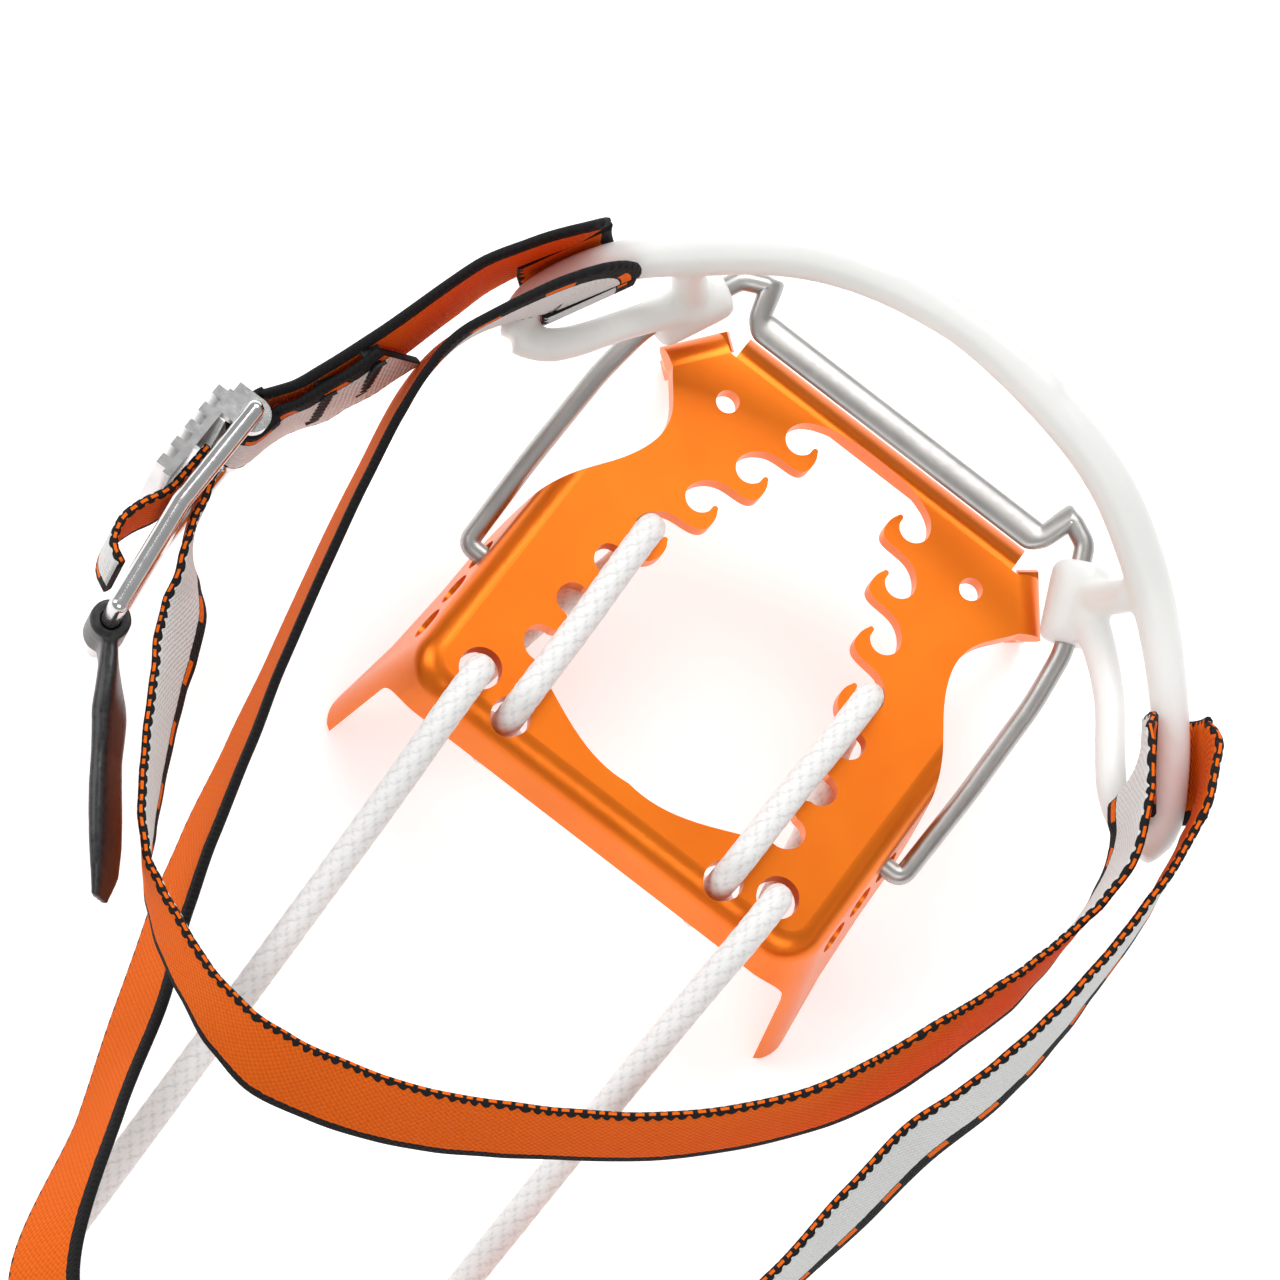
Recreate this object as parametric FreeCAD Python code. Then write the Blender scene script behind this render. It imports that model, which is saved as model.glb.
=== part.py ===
import FreeCAD, Part
import math
import os
from FreeCAD import Vector as V

# Heel unit of a strap-on crampon, in millimetres.
# Origin: midway between the two small round holes, on the plate's top face.
# +X to the right, +Y towards the heel, +Z up. The points stand on z = floorZ.

# plate
sheetT = 3.0            # aluminium sheet
halfWidthTop = 35.5     # side flange at the top face
halfWidthLow = 41.4     # side flange at the point tips
frontTop = -61.8
frontLow = -69.4
skirtDepth = 32.0
cornerR = 6.5
bendR = 4.0
rearBendY = 6.3         # where the rear flange starts to bend down
rearBendR = 5.4
rearFlangeHalf = 25.2
rearFlangeDepth = 8.4
floorZ = -30.0

# holes
plateHoleX = 22.2
plateHoleR = 1.75
cordHoleOuter = (26.7, -55.4, 3.15)
cordHoleInner = (19.1, -58.3, 2.95)
sideHoleY = (-39.3, -45.9, -52.5)
sideHoleZ = -7.0
sideHoleR = 2.6

# cord gullets along the opening, centre x and y, from the rear to the front
gullets = [(10.4, 2.3), (13.6, -5.9), (16.8, -14.2), (19.8, -22.7)]
gulletR = 2.35
notches = [(21.6, -30.3), (22.4, -38.5), (22.4, -46.6)]
notchR = 2.4

# wire bail
wireR = 1.5
legX = 39.4
hingeY = sideHoleY[0]
crossbarY = 11.6
crossbarZ = 2.3

# hoop, strap, cord
bandR = 3.3
slotBarR = 2.3
armR = 2.2
lugR = 4.3
strapW = 15.0
strapT = 1.3
legRise = 3.6           # webbing above the slot bar before it turns forward
rightWrap = (60.0, -9.2, 15.5)
leftWrap = (-50.1, -5.6, 16.5)
cordD = 4.4
cordEndZ = -9.0
knotR = 4.2

# buckle: centre of the frame, first bar, bend, end bar
buckleX = -74.0
buckleTop = -49.5
buckleBend = -67.0
tailX = -71.8
tailY = -84.5
railZ = 11.4
railR = 1.4
gripHalf = 9.7
earT = 1.7
tabW = 9.0
tabLength = 38.0
tabTurn = 35.0
os.makedirs("parts", exist_ok=True)


def save(shape, name):
    shape.exportStep("parts/" + name + ".step")
    print(name, "solids", len(shape.Solids), "volume", round(shape.Volume, 1), "valid", shape.isValid())


def points(rows):
    return [V(*row) for row in rows]


def mirrored(shape):
    return shape.mirror(V(0, 0, 0), V(1, 0, 0))


def slab(outline, z0, z1):
    """Solid between two heights over a closed list of edges."""
    face = Part.Face(Part.Wire(outline))
    face.translate(V(0, 0, z0))
    return face.extrude(V(0, 0, z1 - z0))


def polygon(rows):
    pts = points(rows)
    return Part.makePolygon(pts + [pts[0]])


def hole(x, y, radius, z=-20.0, length=40.0):
    return Part.makeCylinder(radius, length, V(x, y, z), V(0, 0, 1))


def bentPath(pts, share=0.45):
    """Straight runs joined by tangent arcs; returns the wire, its radii and its length."""
    edges = []
    radii = []
    start = pts[0]
    for before, corner, after in zip(pts, pts[1:], pts[2:]):
        runIn = corner - before
        runOut = after - corner
        turn = runIn.getAngle(runOut)
        cut = share * min(runIn.Length, runOut.Length)
        radius = cut / math.tan(turn / 2)
        dirIn = V(runIn).normalize()
        dirOut = V(runOut).normalize()
        arcStart = corner - dirIn * cut
        arcEnd = corner + dirOut * cut
        towards = (dirOut - dirIn).normalize()
        centre = corner + towards * (radius / math.cos(turn / 2))
        arcMid = centre - towards * radius
        edges.append(Part.LineSegment(start, arcStart).toShape())
        edges.append(Part.Arc(arcStart, arcMid, arcEnd).toShape())
        radii.append(round(radius, 1))
        start = arcEnd
    edges.append(Part.LineSegment(start, pts[-1]).toShape())
    wire = Part.Wire(edges)
    return wire, radii, wire.Length


def tube(pts, radius, label=None):
    wire, radii, length = bentPath(pts)
    heading = pts[1] - pts[0]
    circle = Part.Wire(Part.makeCircle(radius, pts[0], heading))
    solid = wire.makePipeShell([circle], True, False)
    solid = Part.Solid(solid) if solid.ShapeType != "Solid" else solid
    if label:
        expected = math.pi * radius ** 2 * length
        print(label, "radii", radii, "length", round(length, 1), "volume / section x length",
              round(solid.Volume / expected, 3))
    return solid


def ribbon(stations, thickness=strapT, width=strapW):
    """Flat webbing through stations of centre point and width direction."""
    wires = []
    centres = [V(*centre) for centre, across in stations]
    for index, (centre, across) in enumerate(stations):
        middle = centres[index]
        ahead = centres[min(index + 1, len(centres) - 1)]
        behind = centres[max(index - 1, 0)]
        along = (ahead - behind).normalize()
        side = V(*across)
        side = (side - along * side.dot(along)).normalize()
        face = along.cross(side).normalize()
        w = side * (width / 2)
        t = face * (thickness / 2)
        wires.append(Part.makePolygon([middle - w - t, middle + w - t, middle + w + t, middle - w + t,
                                       middle - w - t]))
    return Part.makeLoft(wires, True, True)


# ---------------------------------------------------------------- plate

def skirtOutline(halfWidth, front, radius, z, back=24.0):
    k = radius * (1 - math.sqrt(0.5))
    right = halfWidth
    edges = [
        Part.LineSegment(V(right, back, z), V(right, front + radius, z)),
        Part.Arc(V(right, front + radius, z), V(right - k, front + k, z), V(right - radius, front, z)),
        Part.LineSegment(V(right - radius, front, z), V(-right + radius, front, z)),
        Part.Arc(V(-right + radius, front, z), V(-right + k, front + k, z), V(-right, front + radius, z)),
        Part.LineSegment(V(-right, front + radius, z), V(-right, back, z)),
        Part.LineSegment(V(-right, back, z), V(right, back, z)),
    ]
    return Part.Wire([edge.toShape() for edge in edges])


def skirtBlock(inset, topZ, topFillet, radiusLoss):
    """Draughted block with rounded corners and a rounded top edge."""
    lean = (halfWidthLow - halfWidthTop) / skirtDepth
    leanFront = (frontLow - frontTop) / skirtDepth
    deep = -skirtDepth - 6

    def level(z):
        return skirtOutline(halfWidthTop - lean * z - inset, frontTop + leanFront * -z + inset,
                            cornerR - radiusLoss, z)

    block = Part.makeLoft([level(topZ), level(deep)], True, True)
    rim = []
    for edge in block.Edges:
        box = edge.BoundBox
        if abs(box.ZMax - topZ) < 1e-4 and abs(box.ZMin - topZ) < 1e-4 and box.YMin < 20:
            rim.append(edge)
    return block.makeFillet(topFillet, rim)


def neckOutline():
    """Plan of the plate: rear tabs, narrow neck, then out past the side flanges."""
    neck = [(31.6, -0.9), (29.6, -3.6), (27.6, -6.6), (26.9, -9.6), (27.6, -13.4), (29.6, -17.4),
            (32.6, -21.8), (35.4, -26.8), (37.1, -32.6), (37.9, -39.0), (38.7, -46.0)]
    curve = Part.BSplineCurve()
    curve.interpolate([V(x, y, 0) for x, y in neck])
    corners = points([(0, 6.3, 0), (26.2, 6.3, 0), (31.6, -0.9, 0)])
    edges = [Part.LineSegment(corners[0], corners[1]).toShape(),
             Part.LineSegment(corners[1], corners[2]).toShape(),
             curve.toShape()]
    far = points([(38.7, -46.0, 0), (48, -54, 0), (48, -90, 0), (0, -90, 0), (0, 6.3, 0)])
    for a, b in zip(far, far[1:]):
        edges.append(Part.LineSegment(a, b).toShape())
    return edges


def openingOutline():
    """Right half of the big opening with its hooks and notches."""
    edges = []

    def arcThrough(a, b, c):
        edges.append(Part.Arc(V(*a, 0), V(*b, 0), V(*c, 0)).toShape())

    def splineThrough(pts):
        curve = Part.BSplineCurve()
        curve.interpolate([V(x, y, 0) for x, y in pts])
        edges.append(curve.toShape())

    # rear edge into the first gullet
    gx, gy = gullets[0]
    splineThrough([(0, 7.3), (5, 7.0), (gx - 1.0, 5.9), (gx + 1.2, 4.6), (gx + gulletR, gy)])
    hookBack = [(-3.05, -0.15), (-3.6, -2.0), (-3.2, -3.6)]
    underside = [(-3.3, 3.85), (-0.5, 3.4), (1.45, 1.95), (gulletR, 0)]
    for index, (gx, gy) in enumerate(gullets):
        arcThrough((gx + gulletR, gy), (gx, gy - gulletR), (gx - 2.14, gy - 0.97))
        edges.append(Part.LineSegment(V(gx - 2.14, gy - 0.97, 0), V(gx - 2.2, gy - 0.15, 0)).toShape())
        arcThrough((gx - 2.2, gy - 0.15), (gx - 2.62, gy + 0.3), (gx - 3.05, gy - 0.15))
        back = [(gx + dx, gy + dy) for dx, dy in hookBack]
        if index + 1 < len(gullets):
            nx, ny = gullets[index + 1]
            splineThrough(back + [(nx + dx, ny + dy) for dx, dy in underside])
        else:
            nx, ny = notches[0]
            splineThrough(back[:2] + [(gx - 2.6, gy - 4.3), (gx + 0.1, gy - 5.25), (nx + 1.5, ny + 1.9),
                                      (nx + notchR, ny)])
    for index, (nx, ny) in enumerate(notches):
        if index + 1 < len(notches):
            mx, my = notches[index + 1]
            arcThrough((nx + notchR, ny), (nx + notchR * 0.7, ny - notchR * 0.72), (nx - 0.2, ny - notchR))
            splineThrough([(nx - 0.2, ny - notchR), (nx - 2.3, (ny + my) / 2), (mx - 0.2, my + notchR)])
            arcThrough((mx - 0.2, my + notchR), (mx + notchR * 0.7, my + notchR * 0.72), (mx + notchR, my))
        else:
            arcThrough((nx + notchR, ny), (nx + notchR * 0.7, ny - notchR * 0.72), (nx - 0.9, ny - 2.75))
    # front edge
    lastX, lastY = notches[-1]
    splineThrough([(lastX - 0.9, lastY - 2.75), (16.6, -51.5), (10.3, -54.2), (0, -55.5)])
    edges.append(Part.LineSegment(V(0, -55.5, 0), V(0, 7.3, 0)).toShape())
    return edges


def rearFlange():
    """Bent-down strip behind the opening."""
    outer = rearBendR
    inner = outer - sheetT
    y0 = rearBendY
    half = math.sqrt(0.5)
    edges = [
        Part.LineSegment(V(0, y0 - 0.4, 0), V(0, y0, 0)),
        Part.Arc(V(0, y0, 0), V(0, y0 + outer * half, -outer * (1 - half)), V(0, y0 + outer, -outer)),
        Part.LineSegment(V(0, y0 + outer, -outer), V(0, y0 + outer, -rearFlangeDepth)),
        Part.LineSegment(V(0, y0 + outer, -rearFlangeDepth), V(0, y0 + inner, -rearFlangeDepth)),
        Part.LineSegment(V(0, y0 + inner, -rearFlangeDepth), V(0, y0 + inner, -outer)),
        Part.Arc(V(0, y0 + inner, -outer), V(0, y0 + inner * half, -outer + inner * half),
                 V(0, y0, -sheetT)),
        Part.LineSegment(V(0, y0, -sheetT), V(0, y0 - 0.4, -sheetT)),
        Part.LineSegment(V(0, y0 - 0.4, -sheetT), V(0, y0 - 0.4, 0)),
    ]
    face = Part.Face(Part.Wire([edge.toShape() for edge in edges]))
    face.translate(V(-rearFlangeHalf, 0, 0))
    return face.extrude(V(2 * rearFlangeHalf, 0, 0))


def rearPoint():
    """Right rear tab: bends down along the diagonal line and runs into a point."""
    lineStart = V(26.2, 6.3, 0)
    lineEnd = V(31.6, -0.9, 0)
    along = (lineStart - lineEnd).normalize()       # towards the heel
    out = V(-along.y, along.x, 0) * -1              # away from the plate
    if out.x < 0:
        out = out * -1
    length = (lineStart - lineEnd).Length
    tilt = math.radians(80)
    outer = 4.2
    inner = outer - sheetT

    def at(u, distance, depth):
        return lineEnd + along * u + out * distance + V(0, 0, -depth)

    def arcPoint(radius, angle, u):
        return at(u, radius * math.sin(angle), outer - radius * math.cos(angle))

    bend = Part.Wire([
        Part.LineSegment(at(0, -0.4, 0), at(0, 0, 0)).toShape(),
        Part.Arc(at(0, 0, 0), arcPoint(outer, tilt / 2, 0), arcPoint(outer, tilt, 0)).toShape(),
        Part.LineSegment(arcPoint(outer, tilt, 0), arcPoint(inner, tilt, 0)).toShape(),
        Part.Arc(arcPoint(inner, tilt, 0), arcPoint(inner, tilt / 2, 0), at(0, 0, sheetT)).toShape(),
        Part.LineSegment(at(0, 0, sheetT), at(0, -0.4, sheetT)).toShape(),
        Part.LineSegment(at(0, -0.4, sheetT), at(0, -0.4, 0)).toShape(),
    ])
    bendSolid = Part.Face(bend).extrude(along * length)
    # blade below the bend, leaning a little towards the heel
    down = out * math.cos(tilt) + V(0, 0, -math.sin(tilt))
    root = arcPoint(outer, tilt, 0)
    inward = (arcPoint(inner, tilt, 0) - root).normalize()
    depth = (-floorZ + root.z - sheetT * math.cos(tilt)) / math.sin(tilt)
    profile = [(0, -0.3), (length + 1.4, -0.3), (length + 2.3, 1.6), (length + 2.2, 7.0),
               (length + 1.9, depth - 3.0), (length + 1.4, depth - 0.8),
               (length + 0.4, depth), (length - 1.0, depth), (length - 1.9, depth - 0.8), (length - 3.4, 11.0),
               (1.6, 6.0)]
    blade = Part.Face(Part.makePolygon([root + along * a + down * d for a, d in profile + profile[:1]]))
    return bendSolid.fuse(blade.extrude(inward * sheetT))


def heelPlate():
    shell = skirtBlock(0, 0, bendR, 0).cut(skirtBlock(sheetT, -sheetT, bendR - sheetT + 0.2, sheetT - 0.4))
    plan = slab(neckOutline(), -60, 10)
    plan = plan.fuse(mirrored(plan)).removeSplitter()
    plate = shell.common(plan)
    # side view: flange depth and the forward-leaning front point
    profile = [(20, 10), (20, -3.2), (-26, -3.2), (-30, -8.5), (-34.5, -12.2), (-45, -14.2), (-54.5, -19.0),
               (-62.4, floorZ + 1.2), (-63.4, floorZ + 0.2), (-64.6, floorZ), (-66.2, floorZ), (-67.2, floorZ + 0.6),
               (-80, floorZ + 0.6), (-80, 10)]
    keep = Part.Face(polygon([(-60, y, z) for y, z in profile])).extrude(V(120, 0, 0))
    plate = plate.common(keep)
    # front view: short front flange between the points
    gap = Part.Wire([
        Part.LineSegment(V(0, -59.6, -8.6), V(31.4, -59.6, -8.6)).toShape(),
        Part.Arc(V(31.4, -59.6, -8.6), V(34.6, -59.6, -9.9), V(36.2, -59.6, -12.8)).toShape(),
        Part.LineSegment(V(36.2, -59.6, -12.8), V(39.7, -59.6, floorZ - 5)).toShape(),
        Part.LineSegment(V(39.7, -59.6, floorZ - 5), V(0, -59.6, floorZ - 5)).toShape(),
        Part.LineSegment(V(0, -59.6, floorZ - 5), V(0, -59.6, -8.6)).toShape(),
    ])
    gap = Part.Face(gap).extrude(V(0, -20, 0))
    plate = plate.cut(gap).cut(mirrored(gap))
    plate = plate.fuse([rearFlange(), rearPoint(), mirrored(rearPoint())])
    opening = slab(openingOutline(), -12, 5)
    plate = plate.cut([opening, mirrored(opening)])
    tools = []
    for side in (-1, 1):
        tools.append(hole(side * plateHoleX, 0, plateHoleR))
        for x, y, radius in (cordHoleOuter, cordHoleInner):
            tools.append(hole(side * x, y, radius))
        for y in sideHoleY:
            tools.append(Part.makeCylinder(sideHoleR, 16, V(side * 28, y, sideHoleZ), V(side, 0, 0)))
    plate = plate.cut(tools)
    return plate.removeSplitter()


# ---------------------------------------------------------------- wire bail

def wirePoints():
    half = [(32.4, hingeY, sideHoleZ), (legX, hingeY, sideHoleZ), (legX + 0.3, -24.0, -4.3), (legX, -8.0, -1.3),
            (38.3, 0.8, 0.9), (31.4, 15.0, 3.4), (27.6, 16.9, 3.4), (25.8, crossbarY, crossbarZ)]
    left = [(-x, y, z) for x, y, z in half]
    return points(half + left[::-1])


def wireBail():
    return tube(wirePoints(), wireR, "wire_bail")


# ---------------------------------------------------------------- hoop

rightBand = [(0, 20.7, 28), (18, 18.6, 27), (28.7, 16.0, 25), (37.3, 11.8, 22), (45.1, 6.8, 19)]
leftBand = [(-13.4, 18.9, 27.5), (-22.7, 16.4, 26), (-30.6, 12.8, 23.5), (-37.7, 7.8, 20.5)]
rightBar = [(45.1, 6.8, 19), (52.3, 0, 17), (58.0, -6.5, 16), (62.3, -13, 15), (64.6, -18.2, 14), (63.0, -21.4, 13.6)]
leftBar = [(-37.7, 7.8, 20.5), (-43.6, 3.0, 18.5), (-48.6, -2.4, 17), (-52.0, -9.0, 15.6), (-53.4, -14.6, 14.6),
           (-51.4, -17.6, 14.2)]
rightArm = [(36.0, 6.4, 3.4), (41.6, 2.1, 8), (47.4, -5.0, 11.5), (51.6, -12.0, 13), (55.8, -18.6, 13.6),
            (63.0, -21.4, 13.6)]
leftArm = [(-36.0, 6.4, 3.4), (-38.6, -0.4, 8), (-41.6, -6.6, 11.5), (-44.6, -12.4, 13), (-48.0, -16.4, 14),
           (-51.4, -17.6, 14.2)]


def ball(centre, radius):
    return Part.makeSphere(radius, V(*centre))


def heelHoop(wire):
    band = tube(points(leftBand[::-1] + rightBand), bandR, "hoop band")
    pieces = []
    for bar, arm, side in ((rightBar, rightArm, 1), (leftBar, leftArm, -1)):
        pieces.append(tube(points(bar), slotBarR))
        pieces.append(tube(points(arm), armR))
        pieces.append(ball(bar[0], bandR))
        pieces.append(ball(bar[-1], slotBarR))
        foot = V(side * 38.0, 1.8, 1.3)
        head = V(side * 32.9, 12.6, 3.2)
        pieces.append(Part.makeCylinder(lugR, (head - foot).Length, foot, head - foot))
        # web from the lug up to the band
        webTop = V(side * 40.6, 7.4, 18.0) if side > 0 else V(-38.6, 5.6, 18.6)
        webFoot = V(side * 36.0, 6.4, 3.6)
        pieces.append(Part.makeCylinder(2.6, (webTop - webFoot).Length, webFoot, webTop - webFoot))
    hoop = band.fuse(pieces)
    return hoop.cut(wire)


# ---------------------------------------------------------------- straps

up = (0, 0, 1)
alongRightBar = (0.55, -0.82, -0.13)
alongLeftBar = (-0.46, -0.87, -0.18)


def wrapUnder(centre, bar, outward):
    """Webbing that passes under a slot bar, with a leg rising on each side; outer leg first."""
    b = V(*bar).normalize()
    h = V(*outward)
    h = (h - b * h.dot(b)).normalize()
    k = b.cross(h)
    if k.z < 0:
        k = k * -1
    r = slotBarR + strapT / 2 + 1.05
    middle = V(*centre)
    places = [middle + h * r + k * legRise]
    for step in range(7):
        angle = math.pi * step / 6
        places.append(middle + h * (r * math.cos(angle)) - k * (r * math.sin(angle)))
    places.append(middle - h * r + k * legRise)
    return [((p.x, p.y, p.z), tuple(b)) for p in places]


def edgeBend(foot, forward, radius=8.5):
    """Stations where webbing rising from a slot turns forward on its edge."""
    f = V(*forward).normalize()
    z = V(0, 0, 1)
    rows = []
    for degrees in (0, 30, 60, 90):
        a = math.radians(degrees)
        place = V(*foot) + f * (radius * (1 - math.cos(a))) + z * (radius * math.sin(a))
        across = z * math.sin(a) - f * math.cos(a)
        rows.append(((place.x, place.y, place.z), (across.x, across.y, across.z)))
    return rows


def strapInstep():
    """Front loop over the instep, from the left slot round to the right slot."""
    rows = edgeBend((-46.7, -7.0, 21.2), (-0.5, -0.87, 0))
    rows += [((-56.2, -24.6, 25), up), ((-59.1, -31.0, 18), up),
             ((-58.4, -39.5, 10), up), ((-54.6, -59.2, -1), up), ((-50.1, -73.4, -10), up),
             ((-46.8, -81.8, -16), up), ((-39.0, -108.6, -20), up), ((-30.5, -136.2, -17.5), up),
             ((-22.6, -163.8, -15), up), ((-6.6, -172.0, -14.5), up), ((12.6, -168.0, -14.5), up),
             ((32.4, -151.6, -14.5), up), ((47.9, -133.5, -14), up), ((57.4, -115.7, -10), up),
             ((61.4, -99.2, -4), up), ((64.4, -82.5, 2), up), ((67.6, -64.8, 8), up),
             ((70.4, -50.3, 14), up), ((71.3, -37.4, 21), up), ((70.6, -26.4, 26), up)]
    return rows + edgeBend((63.4, -8.1, 20.6), (0.5, -0.86, 0))[::-1]


def strapAdjuster():
    """From the right slot across the front and up into the buckle."""
    rows = edgeBend((57.4, -12.2, 20.6), (0.4, -0.92, 0))
    rows += [((62.6, -30.0, 25), up), ((63.5, -37.0, 21), up), ((62.7, -44.3, 17), up),
             ((61.0, -51.9, 13), up), ((55.6, -61.6, 9), up), ((49.3, -70.5, 6), up), ((35.8, -88.5, 4), up),
             ((23.5, -100.8, 2), up), ((12.5, -109.6, 0), up), ((-0.4, -116.0, -2), up),
             ((-14.0, -119.0, -3), up), ((-30.4, -118.6, -3), up), ((-43.9, -113.1, -3), up),
             ((-49.4, -108.0, -3), up), ((-55.5, -95.5, -3), up), ((-62.0, -80.4, -2), up),
             ((-67.0, -72.4, 0), up), ((-70.6, -67.4, 0), up), ((-72.0, -62.6, 0), up),
             ((-73.6, -58.2, 0), up), ((-74.4, -54.4, 0), up)]
    return rows


def strapTail():
    """Free end: out from under the toothed plate and curled back towards the frame."""
    return [((-76.2, -56.5, 0), up), ((-76.4, -61.5, 0), up), ((-76.7, -65.2, 0), up), ((-78.4, -69.0, 0), up),
            ((-79.2, -72.8, 0), up), ((-78.0, -76.4, 0), up), ((-75.4, -78.0, 0), up)]


def strapBuckleSide():
    """From the left slot to the frame's first bar and sewn back on its own inner face."""
    x, y = buckleX, buckleTop
    r = railR + strapT / 2 + 0.3
    around = [(x + r * math.cos(a), y + r * math.sin(a)) for a in
              [math.radians(d) for d in (180, 225, 270, 315, 360)]]
    rows = edgeBend((-53.2, -3.6, 21.2), (-0.72, -0.69, 0))
    rows += [((-64.4, -21.8, 24), up), ((-66.6, -33.0, 14), up), ((-69.4, -38.6, 6), up), ((-72.4, -42.4, 1), up),
             ((-75.3, -45.3, 0), up)]
    rows += [((px, py, 0), up) for px, py in around]
    rows += [((-71.0, -45.4, 0), up), ((-67.3, -39.2, 5), up), ((-63.9, -33.4, 13), up)]
    return rows


def barTacks():
    """Two blocks of stitching that hold the sewn fold."""
    tacks = []
    for x, y, z, turn in ((-65.6, -34.4, 12.0, -16), (-68.9, -39.7, 5.2, -30)):
        block = Part.makeBox(4.0, 1.8, 12.5, V(-2.0, -0.9, -6.25))
        block.rotate(V(0, 0, 0), V(0, 0, 1), turn)
        block.translate(V(x, y, z))
        tacks.append(block)
    return Part.makeCompound(tacks)


# ---------------------------------------------------------------- cord

def cordSide(side):
    """Route of one half: knot, up hole B, back, round the gullet, under the plate, up hole A, forward."""
    ax, ay, _ = cordHoleOuter
    bx, by, _ = cordHoleInner
    gx, gy = gullets[3]
    top = 2.9
    below = -5.9
    rows = [(bx, by, cordEndZ), (bx, by, top), (bx + 0.1, by + 9, 3.3), (gx - 0.5, gy - 18, 3.0),
            (gx - 0.1, gy - 8, 3.3), (gx, gy, top), (gx, gy, below), (gx + 1.0, gy - 8, -6.4),
            (ax - 2.6, ay + 17, -6.8), (ax - 1.0, ay + 8, -6.4), (ax, ay, below), (ax, ay, top),
            (ax - 0.2, ay - 9, 3.6), (ax - 0.8, ay - 20, -1.0), (ax - 1.3, ay - 38, -11.0),
            (ax - 1.9, ay - 64, -22.0), (ax - 2.5, ay - 92, -27.0), (ax - 3.2, ay - 122, -27.5)]
    return [(side * x, y, z) for x, y, z in rows]


def cordBight():
    """Loop in front, lying on the surface."""
    return [(23.0, -199.0, -27.6), (12.5, -213.0, -27.6), (-12.5, -213.0, -27.6), (-23.0, -199.0, -27.6)]


def linkCord():
    rows = cordSide(1) + cordBight() + cordSide(-1)[::-1]
    return tube(points(rows), cordD / 2, "link_cord")


def stopperKnot(side):
    bx, by, _ = cordHoleInner
    return Part.makeSphere(knotR, V(side * bx, by, cordEndZ - knotR))


# ---------------------------------------------------------------- buckle

def rod(a, b, radius):
    return Part.makeCylinder(radius, (b - a).Length, a, b - a)


def buckleFrame():
    """Polished frame: two rails, three bars, the last one carrying the tab."""
    pieces = []
    for z in (-railZ, railZ):
        top = V(buckleX, buckleTop, z)
        bend = V(buckleX, buckleBend, z)
        tail = V(tailX, tailY, z)
        pieces += [rod(top, bend, railR), rod(bend, tail, railR)]
        pieces += [Part.makeSphere(railR, p) for p in (top, bend, tail)]
    for x, y in ((buckleX, buckleTop), (buckleX, buckleBend), (tailX, tailY)):
        pieces.append(rod(V(x, y, -railZ), V(x, y, railZ), railR))
    return pieces[0].fuse(pieces[1:]).removeSplitter()


def gripPlate():
    """Toothed plate that turns on the frame's first bar and presses the strap."""
    gripX = buckleX - 4.8
    sheet = Part.makeBox(1.3, 16.0, 2 * gripHalf, V(gripX, buckleTop - 15.0, -gripHalf))
    pieces = []
    for row in range(5):
        pieces.append(Part.makeBox(1.6, 1.7, 2 * gripHalf, V(gripX - 1.6, buckleTop - 14.4 + 3.3 * row, -gripHalf)))
    bores = []
    for z in (-gripHalf, gripHalf - earT):
        axisPoint = V(buckleX, buckleTop, z)
        pieces.append(Part.makeCylinder(2.7, earT, axisPoint))
        pieces.append(Part.makeBox(4.2, 5.4, earT, V(gripX + 0.6, buckleTop - 2.7, z)))
        bores.append(Part.makeCylinder(railR + 0.06, earT, axisPoint))
    return sheet.fuse(pieces).cut(bores).removeSplitter()


def pullTab():
    """Tab looped round the frame's end bar."""
    loop = Part.makeCylinder(3.2, tabW, V(tailX, tailY, -tabW / 2))
    body = Part.makeBox(2.2, tabLength, tabW, V(-1.1, -tabLength - 1.5, -tabW / 2))
    body.rotate(V(0, 0, 0), V(0, 0, 1), tabTurn)
    body.translate(V(tailX, tailY, 0))
    bore = Part.makeCylinder(railR + 0.08, tabW, V(tailX, tailY, -tabW / 2))
    return loop.fuse(body).cut(bore)


wire = wireBail()
save(heelPlate(), "heel_plate")
save(wire, "wire_bail")
save(heelHoop(wire), "heel_hoop")
save(ribbon(wrapUnder(rightWrap, alongRightBar, (0.82, 0.55, 0))), "strap_wrap_right")
save(ribbon(wrapUnder(leftWrap, alongLeftBar, (-0.87, 0.46, 0))), "strap_wrap_left")
save(ribbon(strapInstep()), "strap_instep")
save(ribbon(strapAdjuster()), "strap_adjuster")
save(ribbon(strapBuckleSide()), "strap_buckle_side")
save(ribbon(strapTail()), "strap_tail")
save(barTacks(), "bar_tacks")
save(linkCord(), "link_cord")
save(stopperKnot(1), "stopper_knot_right")
save(stopperKnot(-1), "stopper_knot_left")
save(buckleFrame(), "buckle_frame")
save(gripPlate(), "grip_plate")
save(pullTab(), "pull_tab")
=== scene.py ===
import bpy
import math
from mathutils import Matrix, Vector


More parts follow.
